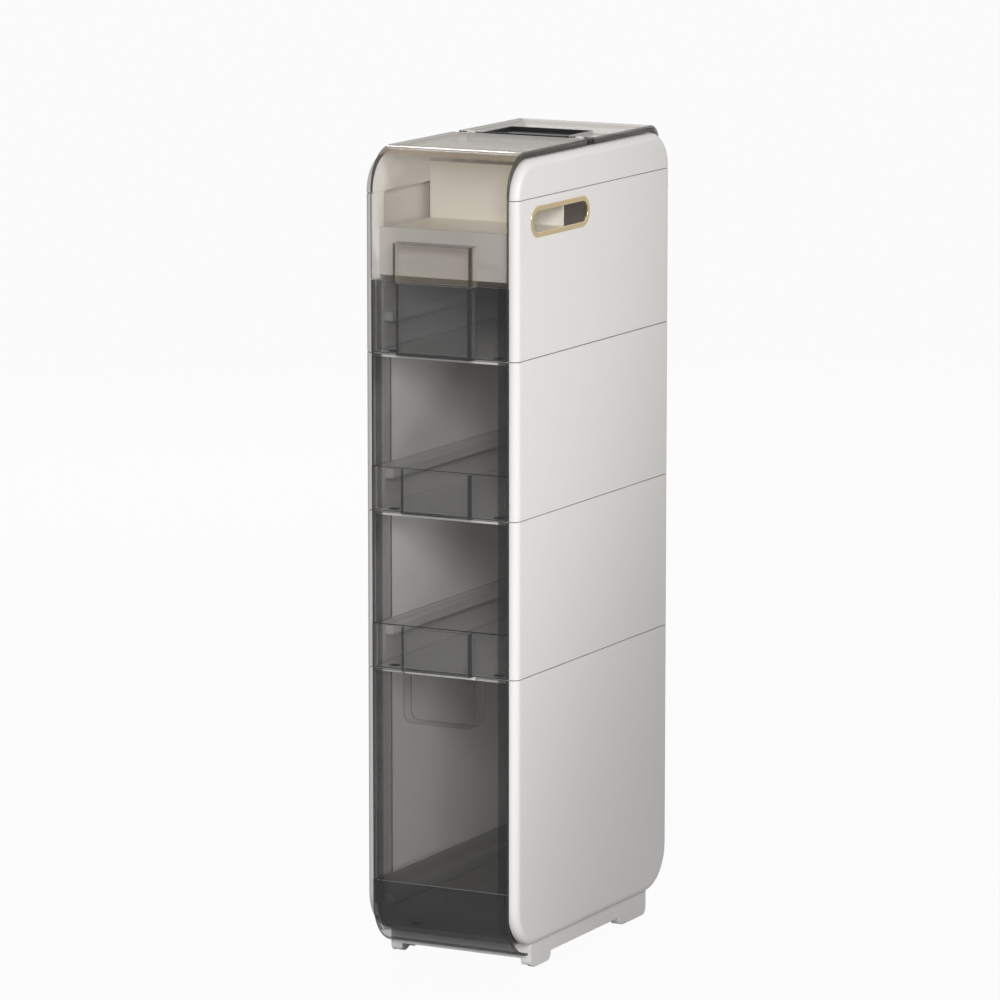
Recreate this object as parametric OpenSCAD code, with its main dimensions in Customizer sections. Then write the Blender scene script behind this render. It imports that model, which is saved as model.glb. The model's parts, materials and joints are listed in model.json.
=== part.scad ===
// Slim rolling drawer cabinet: four stacked levels on a low wheeled base, with two clear
// covers on top. Millimetres. The front faces -Y, +Z is up, and the origin is on the floor
// under the middle of the cabinet's outline.

/* [Cabinet] */
// Width over the side panels
cabinet_w = 220; // [200:1:260]
// Depth from the drawer fronts to the back
cabinet_d = 446; // [400:1:520]
// Height of each of the three upper levels
level_h = 205; // [185:1:240]
// Height of the bottom level, over its side panels
bottom_level_h = 358; // [300:1:420]
// Height of the top frame above the upper seam
top_frame_h = 49; // [45:1:60]
// Height of the side panels above the floor
ground_gap = 34; // [32:1:42]

/* [Side panels] */
// Width of the rim round the drawer opening, seen from the front
rim_w = 13; // [12:0.5:16]
// Depth of the front posts behind the rim
rim_d = 30; // [20:1:36]
// Depth of the back posts
back_rim_d = 14; // [12:1:20]
// Thickness of the outer skin
skin_t = 3; // [2:0.5:4]
// Rounding of the outer edges
edge_r = 10; // [6:0.5:11]
// Corner radius of the top frame, seen from the side
top_corner_r = 48; // [36:1:48]
// Corner radius of the bottom panels, seen from the side
bottom_corner_r = 58; // [44:1:64]
// Width and depth of the groove under each seam
seam_groove = 1.2; // [0.8:0.1:1.6]
// Thickness of the shelves
shelf_t = 5; // [4:0.5:7]
// Thickness of the ledges that carry the shelves
ledge_t = 3; // [2:0.5:4]
// Thickness of the back panels
back_t = 3; // [2:0.5:4]

/* [Fronts] */
// Thickness of the tinted fronts
front_t = 3.7; // [3:0.1:3.8]
// Height of the front faces in front of the rim
front_proud = 4; // [4:0.1:6]
// Lap of the fronts over the rim, on each side
front_lap = 2; // [1:0.5:3]
// Rounding of the fronts' upright edges
front_edge_r = 3; // [2:0.25:3]
// Gap between one front and the next
front_gap = 1.6; // [1:0.2:3]
// Depth of the side flanges behind the windows
flange_d = 43; // [30:1:60]
// Thickness of the side flanges
flange_t = 2; // [1.5:0.25:2.5]

/* [Drawers] */
// Wall of the drawer tubs
tub_wall = 2; // [1.5:0.25:2.5]
// Floor of the drawer tubs
tub_floor = 2.5; // [2:0.25:4]
// Height of the upper drawer
top_tub_h = 94; // [80:1:110]
// Height of the tubs of the two middle drawers
low_tub_h = 58; // [45:1:80]
// Height of the bottom drawer's tub, over the underside of the side panels
bottom_tub_h = 77; // [70:1:110]
// Radius of the bottom drawer's curved nose
nose_r = 62; // [50:1:62]
// Drop of the nose below the side panels
nose_drop = 16; // [8:1:17]
// Height of the side rails
rail_h = 12; // [8:1:20]

/* [Pulls] */
// Width of the finger box on the front cover
pull_w = 114; // [90:1:130]
// Reach of that finger box in front of the fronts
pull_proud = 20; // [14:1:26]
// Height of that finger box
cover_pull_h = 50; // [35:1:60]
// Width of the finger boxes on the middle drawers
low_pull_w = 102; // [80:1:120]
// Reach of the middle drawers' finger boxes
low_pull_proud = 11; // [9:1:14]
// How much smaller the upper drawer's finger box is than the cover's, on each side
pull_step = 3; // [2:0.5:4]
// Wall of the finger boxes
pull_wall = 2; // [1.5:0.25:3]
// Width of the finger dent in the tall window
dent_w = 108; // [80:1:120]
// Height of the dent
dent_h = 69; // [50:1:90]
// Depth of the dent
dent_d = 23; // [16:1:30]

/* [Covers] */
// Height of the covers above the top frame
cover_rise = 9; // [8:0.5:12]
// Thickness of the clear sheet
cover_t = 3; // [2:0.25:3.5]
// Radius of the hinge barrels
barrel_r = 6.5; // [5:0.25:6.5]
// Radius of the rear cover's lower corner
rear_cover_r = 24; // [16:1:30]
// Radius of the hinge pins
pin_r = 2; // [1.5:0.25:2.5]
// Distance from the drawer fronts to the middle of the gap between the covers
split_at = 232; // [215:1:240]
// Gap between the covers
split_gap = 9; // [4:0.5:12]
// Width of the opening in the rear cover
slot_w = 120; // [100:1:124]
// Length of that opening, front to back
slot_d = 80; // [60:1:110]

/* [Paper outlet] */
// Length of the brass ring
outlet_l = 167; // [120:1:180]
// Height of the brass ring
outlet_h = 40; // [34:1:42]
// Width of the ring's face
outlet_ring_w = 6.5; // [3:0.5:7]
// Distance from the drawer fronts to the ring's centre
outlet_at = 125.5; // [115:0.5:140]

/* [Base and feet] */
// Height of the base's skirt
skirt_h = 20; // [16:1:22]
// Length of the front feet
front_foot_l = 56; // [45:1:70]
// Length of the rear feet
rear_foot_l = 78; // [50:1:90]
// Width of the feet
foot_w = 15; // [14:1:20]
// Radius of the wheels
wheel_r = 14.5; // [12:0.5:14.5]
// Width of the wheels
wheel_w = 9.5; // [7:0.5:10]

/* [Hidden] */

$fn = 72;

// Colours
white = [0.93, 0.92, 0.90];
smoke = [0.33, 0.34, 0.35, 0.55];
clear_grey = [0.62, 0.61, 0.58, 0.5];
black = [0.06, 0.06, 0.06];
gold = [0.80, 0.66, 0.40];
steel = [0.70, 0.70, 0.72];
wheel_grey = [0.55, 0.55, 0.54];

// One overrun for all cuts, and the clearances
over = 1;
slip = 0.3;        // between pieces that move past each other
snug = 0.2;        // between fixed pieces that slot together
running = 0.05;    // radial, between a pin and its bore

// Places that follow from the sizes above
half_w = cabinet_w / 2;
overall_d = cabinet_d + pull_proud;
front_y = pull_proud - overall_d / 2;
back_y = overall_d / 2;
rim_y = front_y + front_proud;
open_x = half_w - rim_w;
skin_x = half_w - skin_t;
post_y = rim_y + rim_d;
back_panel_y = back_y - back_rim_d;
back_face_y = back_panel_y - back_t;
z_seam = [for (i = [0:3]) ground_gap + bottom_level_h + i * level_h];
z_top = z_seam[3] + top_frame_h;
z_cover = z_top + cover_rise;

// Levels are counted from the top: 1 to 4
function level_z(i) = i == 4 ? ground_gap : z_seam[3 - i];
function level_top(i) = z_seam[4 - i];
// Plate on which the bottom drawer runs
floor_t = 3;
function run_z(i) = i == 4 ? ground_gap + floor_t : level_z(i);

// Fronts
front_half_w = open_x + front_lap;
front_back_y = front_y + front_t;
round_share = 0.9;      // of a sheet's thickness, at most
front_round = min(front_edge_r, round_share * front_t);
flange_gap = 0.8;
flange_x = open_x - flange_gap - flange_t;
flange_end_y = front_back_y + flange_d;

// Drawer tubs, on thin pads
pad_h = 1.5;
pad_w = 12;
pad_l = 9;
pad_inset = 12;
pad_sink = 0.5;
tub_half_w = flange_x - snug;
tub_back_gap = 4;
tub_back_y = back_face_y - tub_back_gap;
tub_edge_r = 6;
function tub_z(i) = run_z(i) + slip + pad_h - pad_sink;
function tub_top(i) = i == 1 ? level_z(1) + top_tub_h
    : i == 4 ? ground_gap + bottom_tub_h : level_z(i) + low_tub_h;
function front_z(i) = level_z(i) + front_gap / 2;
window_inset = 0.8;     // the tall windows stand this far behind the lower fronts
window_t = front_t - window_inset;

// Side rails
rail_x = tub_half_w + slip;
rail_up = 34;
rail_start_y = flange_end_y + tub_back_gap;

// Curved nose of the bottom drawer, the base behind it, and the curved back corner
base_set_back = 58;
base_back_set = 51;
base_side_set = 7;
nose_gap = 1;
nose_y = front_y + nose_r;
nose_z = ground_gap - nose_drop + nose_r;
base_front_y = front_y + base_set_back;
base_back_y = back_y - base_back_set;
base_half_w = half_w - base_side_set;
skirt_t = 2.5;
base_top_t = 2.5;
nose_sweep = acos((nose_r - base_set_back + nose_gap) / nose_r);
post_low = rim_d;       // height of the closed foot of the bottom panels
heel_r = bottom_corner_r - back_rim_d;
heel_y = back_panel_y - heel_r;
heel_z = ground_gap + heel_r;
tub_heel_r = heel_r - floor_t - tub_back_gap;

// Feet and wheels
foot_clear = 2;
foot_wall = 2.5;
foot_corner_r = 10;
wheel_gap = 2;
wheel_end = foot_wall + wheel_gap + wheel_r;
axle_r = 2.5;
axle_head_r = 4;
axle_head_t = 1.2;
axle_bite = 1.6;
wheel_side_gap = 0.4;
wheel_edge_r = 1.5;
axle_head_gap = 0.3;
z_base = ground_gap - base_top_t;
wheel_out_x = base_half_w - foot_wall - wheel_side_gap;
wheel_in_x = wheel_out_x - wheel_w;
foot_in_x = base_half_w - foot_w;

// Top bays
bay_drop = 48;
bay_floor_z = z_seam[3] - bay_drop;
bay_floor_t = 3;
rear_bay_gap = 7;
rear_bay_z = tub_top(1) + rear_bay_gap;
rear_bay_low = rear_bay_z - bay_floor_t;
fascia_set_back = 21;
fascia_t = 2.5;
fascia_lip = 3;
fascia_y = front_y + fascia_set_back;
tray_y = fascia_y + fascia_t;
divider_set_back = 158;
divider_y = front_y + divider_set_back;
divider_t = 2;
divider_share = 0.53;   // of the top frame's height
divider_top = z_seam[3] + divider_share * top_frame_h;

// Covers
cover_half_w = front_half_w;
cover_edge_share = 2 / 3;
cover_edge_r = cover_edge_share * cover_t;
barrel_half_w = open_x - 2 * slip;
pin_z = z_cover - barrel_r;
split_y = front_y + split_at;
front_pin_y = split_y - split_gap / 2 - barrel_r;
rear_pin_y = split_y + split_gap / 2 + barrel_r;
cover_front_r = front_proud + top_corner_r;
cover_low_z = tub_top(1) + front_gap;
knuckle_w = 12;
pin_l = 26;
barrel_l = barrel_half_w - slot_w / 2 - 2 * over;
knuckle_x = barrel_half_w - barrel_l / 2;
beam_t = 10;
beam_gap = 2;
beam_top = pin_z - barrel_r - beam_gap;
rear_end_inset = 11;
rear_cover_y = back_y - rear_end_inset;
pull_r = 4;
dent_r = 12;
rear_lip = 20;
rear_lap = 4;
rear_lip_z = z_top - rear_lip;
rear_wall_top = rear_lip_z + rear_lap;
// Height at which the rear cover's upright face meets the frame's rounded corner
rear_reach = rear_cover_y - cover_t - back_y + top_corner_r;
rear_notch_z = z_top - top_corner_r + sqrt(pow(top_corner_r, 2) - pow(rear_reach, 2)) + slip;
liner_t = 2;
liner_d = 8;
liner_slit_w = 84;
liner_slit_d = 12;

// Screws and pegs
back_screw_in = 5;
floor_screw_x = 70;
floor_screw_bite = 2.4;
foot_screw_in = 9;
screw_r = 1.75;
screw_head_r = 3.5;
screw_head_t = 2;
screw_bite = 8;
screw_margin = 32;
peg_r = 3;
peg_l = 16;
peg_x = open_x + rim_w / 2;

// Brass outlet
outlet_y = front_y + outlet_at;
outlet_drop = 32;
outlet_z = z_seam[3] - outlet_drop;
outlet_sink = 1.2;
outlet_sleeve_t = 1.5;

// A box from two corners
module block(lo, hi) {
    translate(lo) cube(hi - lo);
}

// The same shape on the left and on the right
module both_sides() {
    children();
    mirror([1, 0, 0]) children();
}

// Lays a drawing of the YZ plane between two places along X
module along_x(x0, x1) {
    translate([x0, 0, 0]) rotate([90, 0, 90]) linear_extrude(x1 - x0) children();
}

// A rod along X
module rod_x(x0, x1, y, z, r) {
    translate([x0, y, z]) rotate([0, 90, 0]) cylinder(r = r, h = x1 - x0);
}

// A rod along Y
module rod_y(y0, y1, x, z, r) {
    translate([x, y0, z]) rotate([-90, 0, 0]) cylinder(r = r, h = y1 - y0);
}

// Section of a side panel seen from above, drawn for the right side
module panel_section(inset) {
    r = edge_r - inset;
    x1 = half_w - inset;
    y0 = rim_y + inset;
    y1 = back_y - inset;
    intersection() {
        translate([open_x, y0]) square([x1 - open_x, y1 - y0]);
        union() {
            translate([open_x, y0]) square([x1 - r - open_x, y1 - y0]);
            translate([open_x, y0 + r]) square([x1 - open_x, y1 - y0 - 2 * r]);
            for (y = [y0 + r, y1 - r]) translate([x1 - r, y]) circle(r);
        }
    }
}

// Section across a rounded edge: u runs out to the edge, from the corner's centre
module edge_section(corner_r) {
    intersection() {
        translate([0, open_x]) square([corner_r, rim_w]);
        union() {
            translate([0, open_x]) square([corner_r, rim_w - edge_r]);
            translate([0, open_x]) square([corner_r - edge_r, rim_w]);
            translate([corner_r - edge_r, half_w - edge_r]) circle(edge_r);
        }
    }
}

// A panel with two rounded corners at its lower end, its edge rounded all the way
module rounded_end_solid(z0, z1, corner_r) {
    y0 = rim_y + corner_r;
    y1 = back_y - corner_r;
    zc = z0 + corner_r;
    block([open_x, y0, zc], [half_w, y1, z1]);
    // core that joins the pieces
    block([open_x, y0 - over, zc - over], [half_w - edge_r, y1 + over, z1]);
    // corners
    for (turn = [0, 90])
        translate([0, turn == 0 ? y1 : y0, zc]) rotate([0, 90, 0]) rotate([0, 0, -turn])
            rotate_extrude(angle = 90) edge_section(corner_r);
    // lower edge
    translate([0, y0, zc]) rotate([-90, 0, 0]) rotate([0, 0, 90]) mirror([0, 1, 0])
        linear_extrude(y1 - y0) edge_section(corner_r);
    // front and back edges
    translate([0, y1, zc]) multmatrix([[0, 1, 0, 0], [1, 0, 0, 0], [0, 0, 1, 0]])
        linear_extrude(z1 - zc) edge_section(corner_r);
    translate([0, y0, zc]) multmatrix([[0, 1, 0, 0], [-1, 0, 0, 0], [0, 0, 1, 0]])
        linear_extrude(z1 - zc) edge_section(corner_r);
}

// Side view of a panel with two rounded lower corners, drawn in the YZ plane
module rounded_end_view(z0, z1, corner_r, inset) {
    r = corner_r - inset;
    intersection() {
        translate([rim_y + inset, z0 + inset])
            square([back_y - rim_y - 2 * inset, z1 - z0 - inset]);
        union() {
            translate([rim_y + corner_r, z0]) square([back_y - rim_y - 2 * corner_r, z1 - z0]);
            translate([rim_y, z0 + corner_r]) square([back_y - rim_y, z1 - z0]);
            for (y = [rim_y + corner_r, back_y - corner_r])
                translate([y, z0 + corner_r]) circle(r);
        }
    }
}

// The groove round the top of a level, on the outside
module seam_cut(z) {
    translate([0, 0, z - seam_groove]) linear_extrude(seam_groove + over) difference() {
        translate([open_x - over, rim_y - over])
            square([rim_w + 2 * over, back_y - rim_y + 2 * over]);
        panel_section(seam_groove);
    }
}

// A thin sheet seen across: u runs outwards through it, its outer edges are rounded
module sheet_section(u0, t, hw, r) {
    translate([u0, -hw]) square([t - r, 2 * hw]);
    translate([u0, r - hw]) square([t, 2 * (hw - r)]);
    intersection() {
        translate([u0, -hw]) square([t, 2 * hw]);
        for (side = [-1, 1]) translate([u0 + t - r, side * (hw - r)]) circle(r);
    }
}

// An upright front sheet with its outer face at y
module front_sheet(y, t, z0, z1, hw) {
    translate([0, y + t, z0]) linear_extrude(z1 - z0) rotate([0, 0, -90])
        sheet_section(0, t, hw, min(front_edge_r, round_share * t));
}

// A sheet bent round an axis along X, from the front downwards
module bent_down(y, z, r, t, hw, edge, sweep) {
    translate([0, y, z]) rotate([0, 90, 0]) rotate([0, 0, -90])
        rotate_extrude(angle = sweep) sheet_section(r - t, t, hw, edge);
}

// A finger box in front of a sheet: walls, and a closed bottom or top
module finger_box(hw, proud, z0, z1, closed_low, closed_high) {
    y = front_y - proud;
    difference() {
        finger_box_solid(hw, y, z0, z1, pull_r);
        translate([0, 0, closed_low ? pull_wall : -over])
            finger_box_solid(hw - pull_wall, y + pull_wall, z0,
                z1 - (closed_high ? pull_wall : -over) - (closed_low ? pull_wall : -over),
                pull_r - pull_wall);
    }
}

module finger_box_solid(hw, y, z0, z1, r) {
    block([-hw, y + r, z0], [hw, front_y + front_t / 2, z1]);
    block([r - hw, y, z0], [hw - r, y + 2 * r, z1]);
    for (side = [-1, 1]) translate([side * (hw - r), y + r, z0]) cylinder(r = r, h = z1 - z0);
}

// A screw with its head's outer face at the origin, pointing along -Z
module screw(through) {
    translate([0, 0, -screw_head_t]) cylinder(r = screw_head_r, h = screw_head_t);
    translate([0, 0, -through]) cylinder(r = screw_r, h = through - screw_head_t / 2);
}

// The recess and the bore for it
module screw_cut(through) {
    translate([0, 0, -screw_head_t]) cylinder(r = screw_head_r + snug, h = screw_head_t + over);
    translate([0, 0, -through]) cylinder(r = screw_r, h = through);
}

// A running shape in the YZ plane, rounded at both ends
module stadium(l, h) {
    translate([h / 2 - l / 2, -h / 2]) square([l - h, h]);
    for (side = [-1, 1]) translate([side * (l - h) / 2, 0]) circle(h / 2);
}

// Places of the pegs at a seam, seen from above
module peg_places(i) {
    for (y = [rim_y + rim_d / 2, back_y - back_rim_d / 2]) both_sides()
        translate([peg_x, y, z_seam[i]]) children();
}

module peg_cut(i) {
    peg_places(i) translate([0, 0, -peg_l / 2]) cylinder(r = peg_r + running, h = peg_l);
}

// Right panel of a level; the left one is its mirror image
module side_panel(i) {
    z0 = level_z(i);
    z1 = level_top(i);
    low = i == 4 ? z0 + post_low : z0 - over;
    difference() {
        if (i == 4) rounded_end_solid(z0, z1, bottom_corner_r);
        else translate([0, 0, z0]) linear_extrude(z1 - z0) panel_section(0);
        block([open_x - over, post_y, low], [skin_x, back_panel_y, z1 + over]);
        seam_cut(z1);
        peg_cut(4 - i);
        if (i < 4) peg_cut(3 - i);
    }
    ledge_top = i == 1 ? rear_bay_low : z1 - shelf_t;
    block([open_x, post_y - over, ledge_top - ledge_t],
        [skin_x + skin_t / 2, back_face_y, ledge_top]);
}

module right_panel(i) {
    color(white) if (i == 1) difference() {
        side_panel(i);
        outlet_cut();
    } else side_panel(i);
}

module left_panel(i) {
    color(white) mirror([1, 0, 0]) side_panel(i);
}

// The brass outlet in the right panel
module outlet_place(x0, x1) {
    along_x(x0, x1) translate([outlet_y, outlet_z]) children();
}

module outlet_cut() {
    bore = 2 * (outlet_sleeve_t + snug - outlet_ring_w);
    outlet_place(skin_x - over, half_w + over)
        stadium(outlet_l + bore, outlet_h + bore);
    outlet_place(half_w - outlet_sink, half_w + over)
        stadium(outlet_l + 2 * snug, outlet_h + 2 * snug);
}

module outlet_ring() {
    inner_l = outlet_l - 2 * outlet_ring_w;
    inner_h = outlet_h - 2 * outlet_ring_w;
    color(gold) difference() {
        union() {
            outlet_place(half_w - outlet_sink, half_w) stadium(outlet_l, outlet_h);
            outlet_place(skin_x, half_w - outlet_sink / 2)
                stadium(inner_l + 2 * outlet_sleeve_t, inner_h + 2 * outlet_sleeve_t);
        }
        outlet_place(skin_x - over, half_w + over) stadium(inner_l, inner_h);
    }
}

// A shelf, with its front edge between the rims
module shelf(i) {
    z1 = z_seam[3 - i];
    color(white) {
        block([-open_x, rim_y, z1 - shelf_t], [open_x, post_y + over, z1]);
        block([-skin_x, post_y, z1 - shelf_t], [skin_x, back_face_y, z1]);
    }
}

module back_screw_places(i) {
    low = i == 4 ? heel_z + screw_margin : level_z(i) + screw_margin;
    for (z = [low, level_top(i) - screw_margin]) both_sides()
        translate([open_x + back_screw_in, back_face_y, z]) rotate([90, 0, 0]) children();
}

module back_panel(i) {
    z0 = i == 4 ? heel_z : level_z(i);
    color(white) difference() {
        block([-skin_x, back_face_y, z0], [skin_x, back_panel_y, level_top(i)]);
        back_screw_places(i) screw_cut(back_t + over);
    }
}

module back_screws() {
    color(steel) for (i = [1:4]) back_screw_places(i) screw(back_t);
}

module joining_pegs() {
    color(white) for (i = [0:3])
        peg_places(i) translate([0, 0, -peg_l / 2]) cylinder(r = peg_r, h = peg_l);
}

// The plate under the bottom drawer turns up into the back
module bottom_floor() {
    z0 = ground_gap;
    color(white) difference() {
        union() {
            block([-open_x, base_front_y, z0], [open_x, heel_y, z0 + floor_t]);
            intersection() {
                block([-open_x, heel_y - over, z0], [open_x, back_panel_y, heel_z]);
                rod_x(-open_x, open_x, heel_y, heel_z, heel_r);
            }
        }
        rod_x(-open_x - over, open_x + over, heel_y, heel_z, heel_r - floor_t);
        floor_screw_places() translate([0, 0, base_top_t])
            cylinder(r = screw_r, h = floor_screw_bite);
    }
}

module floor_screw_places() {
    for (y = [base_front_y + screw_margin, base_back_y - screw_margin], x = [-1, 1])
        translate([x * floor_screw_x, y, z_base]) children();
}

module floor_screws() {
    color(steel) floor_screw_places() rotate([180, 0, 0]) translate([0, 0, screw_head_t])
        screw(base_top_t + floor_screw_bite + screw_head_t);
}

module base_tray() {
    color(white) difference() {
        block([-base_half_w, base_front_y, ground_gap - skirt_h],
            [base_half_w, base_back_y, ground_gap]);
        block([skirt_t - base_half_w, base_front_y + skirt_t, ground_gap - skirt_h - over],
            [base_half_w - skirt_t, base_back_y - skirt_t, z_base]);
        for (end = [0, 1], side = [0, 1]) mirror([side, 0, 0])
            foot_room(end, end == 0 ? front_foot_l : rear_foot_l);
        for (end = [0, 1], side = [0, 1]) mirror([side, 0, 0])
            translate([0, 0, ground_gap]) foot_screw_place(end) screw_cut(screw_bite);
        floor_screw_places() translate([0, 0, -over])
            cylinder(r = screw_r, h = base_top_t + 2 * over);
    }
}

// Places a drawing made for a foot at y = 0 at the front end, or mirrored at the back end
module at_end(end) {
    translate([0, end == 0 ? base_front_y : base_back_y, 0]) mirror([0, end, 0]) children();
}

module foot_room(end, l) {
    at_end(end) block([foot_in_x - snug, -over, ground_gap - skirt_h - over],
        [base_half_w + over, l + snug, z_base]);
}

module foot_screw_place(end) {
    l = end == 0 ? front_foot_l : rear_foot_l;
    at_end(end) translate([foot_in_x + foot_w / 2, l - foot_screw_in, 0]) children();
}

module wheel_place(end) {
    at_end(end) translate([0, wheel_end, wheel_r]) children();
}

module foot(end) {
    l = end == 0 ? front_foot_l : rear_foot_l;
    room = wheel_r + wheel_gap;
    color(white) difference() {
        at_end(end) along_x(foot_in_x, base_half_w) foot_view(l);
        wheel_place(end) {
            rod_x(foot_in_x - over, base_half_w - foot_wall, 0, 0, room);
            block([foot_in_x - over, -room, -wheel_r - over],
                [base_half_w - foot_wall, room, 0]);
            rod_x(wheel_in_x, base_half_w - foot_wall + axle_bite, 0, 0, axle_r);
        }
        translate([0, 0, z_base]) foot_screw_place(end)
            translate([0, 0, base_top_t - screw_bite]) cylinder(r = screw_r, h = screw_bite);
    }
}

// Side view of a foot that runs back from y = 0
module foot_view(l) {
    translate([0, foot_clear + foot_corner_r])
        square([l, z_base - foot_clear - foot_corner_r]);
    translate([foot_corner_r, foot_clear]) square([l - 2 * foot_corner_r, foot_corner_r]);
    for (y = [foot_corner_r, l - foot_corner_r])
        translate([y, foot_clear + foot_corner_r]) circle(foot_corner_r);
}

module foot_screws() {
    color(steel) for (end = [0, 1]) both_sides()
        translate([0, 0, ground_gap]) foot_screw_place(end) screw(screw_bite);
}

module wheel(end) {
    color(wheel_grey) wheel_place(end) difference() {
        union() {
            rod_x(wheel_in_x + wheel_edge_r, wheel_out_x - wheel_edge_r, 0, 0, wheel_r);
            rod_x(wheel_in_x, wheel_out_x, 0, 0, wheel_r - wheel_edge_r);
            for (x = [wheel_in_x + wheel_edge_r, wheel_out_x - wheel_edge_r])
                translate([x, 0, 0]) rotate([0, 90, 0]) rotate_extrude()
                    translate([wheel_r - wheel_edge_r, 0]) circle(wheel_edge_r);
        }
        rod_x(wheel_in_x - over, wheel_out_x + over, 0, 0, axle_r + running);
    }
}

module wheel_axles() {
    color(steel) for (end = [0, 1]) both_sides() wheel_place(end) {
        rod_x(wheel_in_x - axle_head_gap, base_half_w - foot_wall + axle_bite, 0, 0, axle_r);
        rod_x(wheel_in_x - axle_head_gap - axle_head_t, wheel_in_x - axle_head_gap, 0, 0,
            axle_head_r);
    }
}

// Rails that guide a drawer on both sides
module rails(i) {
    z0 = i == 4 ? ground_gap + rail_up : level_z(i) + rail_up;
    y1 = i == 4 ? tub_back_y : back_face_y;
    color(white) both_sides() block([rail_x, rail_start_y, z0], [skin_x, y1, z0 + rail_h]);
}

// The white walls between the covers, with the hinge beam and its lugs
module top_frame() {
    color(white) difference() {
        union() {
            both_sides() translate([0, 0, z_seam[3] + z_top]) mirror([0, 0, 1])
                rounded_end_solid(z_seam[3], z_top, top_corner_r);
            // hinge beam
            block([-open_x - over, front_pin_y - barrel_r, beam_top - beam_t],
                [open_x + over, split_y, beam_top]);
            hinge_lugs(front_pin_y);
            hinge_lugs(rear_pin_y);
            for (side = [-1, 1]) translate([side * knuckle_x - knuckle_w / 2, 0, 0])
                block([0, front_pin_y, beam_top - beam_t],
                    [knuckle_w, rear_pin_y + barrel_r, beam_top]);
            // back wall
            block([-open_x - over, back_face_y, z_seam[3]],
                [open_x + over, back_panel_y - slip, rear_wall_top]);
        }
        for (y = [front_pin_y, rear_pin_y]) pin_places(y) rod_x(-pin_l, pin_l, 0, 0, pin_r);
        peg_cut(3);
    }
}

module pin_places(y) {
    for (side = [-1, 1]) translate([side * knuckle_x, y, pin_z]) children();
}

module hinge_lugs(y) {
    pin_places(y) {
        rod_x(-knuckle_w / 2, knuckle_w / 2, 0, 0, barrel_r);
        block([-knuckle_w / 2, -barrel_r, beam_top - beam_t - pin_z],
            [knuckle_w / 2, barrel_r, 0]);
    }
}

module hinge_pins(y) {
    color(steel) pin_places(y) rod_x(-pin_l / 2, pin_l / 2, 0, 0, pin_r);
}

// Barrels of a cover on both sides, with room for the lugs and the pins
module hinge_barrels(y) {
    pin_places(y) rod_x(-barrel_l / 2, barrel_l / 2, 0, 0, barrel_r);
}

module hinge_cut(y) {
    pin_places(y) {
        rod_x(-knuckle_w / 2 - slip, knuckle_w / 2 + slip, 0, 0, barrel_r + slip);
        rod_x(-pin_l / 2 - slip, pin_l / 2 + slip, 0, 0, pin_r + running);
    }
}

module top_tray() {
    color(white) {
        block([-open_x, tray_y, bay_floor_z - bay_floor_t],
            [open_x, divider_y + divider_t, bay_floor_z]);
        block([-open_x, divider_y, rear_bay_low],
            [open_x, divider_y + divider_t, bay_floor_z - bay_floor_t / 2]);
        block([-skin_x, divider_y, rear_bay_low], [skin_x, back_face_y, rear_bay_z]);
    }
}

module bay_divider() {
    color(white) block([-open_x, divider_y, bay_floor_z],
        [open_x, divider_y + divider_t, divider_top]);
}

module fascia() {
    color(white) block([-open_x, fascia_y, rear_bay_low],
        [open_x, tray_y, bay_floor_z + fascia_lip]);
}

// Side view of the top frame, grown by a gap
module wall_view(gap) {
    translate([0, z_seam[3] + z_top]) mirror([0, 1])
        rounded_end_view(z_seam[3], z_top, top_corner_r, -gap);
}

// Side view of the front cover, drawn in by half its sheet
module front_cover_view() {
    r = cover_front_r - cover_t / 2;
    y = front_y + cover_front_r;
    z = z_cover - cover_front_r;
    translate([y, z]) circle(r);
    translate([y - r, z_seam[3]]) square([r, z - z_seam[3]]);
    translate([y, z_seam[3]]) square([front_pin_y - y, z + r - z_seam[3]]);
}

module rear_cover_view() {
    r = rear_cover_r - cover_t / 2;
    y = rear_cover_y - rear_cover_r;
    z = z_cover - rear_cover_r;
    translate([y, z]) circle(r);
    translate([rear_pin_y, rear_lip_z]) square([y - rear_pin_y, z + r - rear_lip_z]);
    translate([y, rear_lip_z]) square([r, z - rear_lip_z]);
}

// A flange over each side wall, inside a cover's outline
module cover_flanges() {
    both_sides() along_x(open_x + snug, cover_half_w - snug) difference() {
        children();
        wall_view(slip);
        translate([rim_y - over, level_z(1)])
            square([overall_d, z_top - top_corner_r - level_z(1)]);
    }
}

module front_cover() {
    r = cover_front_r;
    color(clear_grey) difference() {
        union() {
            translate([0, front_y + cover_t, cover_low_z]) linear_extrude(z_cover - r - cover_low_z)
                rotate([0, 0, -90]) sheet_section(0, cover_t, cover_half_w, cover_edge_r);
            // bent corner
            translate([0, front_y + r, z_cover - r]) rotate([0, 90, 0]) rotate([0, 0, 180])
                rotate_extrude(angle = 90) sheet_section(r - cover_t, cover_t, cover_half_w,
                    cover_edge_r);
            // top
            translate([0, front_y + r, z_cover - cover_t]) rotate([-90, 0, 0])
                linear_extrude(front_pin_y - front_y - r) mirror([0, 1]) rotate([0, 0, 90])
                    sheet_section(0, cover_t, cover_half_w, cover_edge_r);
            cover_flanges() front_cover_view();
            rod_x(-barrel_half_w, barrel_half_w, front_pin_y, pin_z, barrel_r);
            finger_box(pull_w / 2, pull_proud, cover_low_z, cover_low_z + cover_pull_h,
                false, true);
        }
        hinge_cut(front_pin_y);
    }
}

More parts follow.
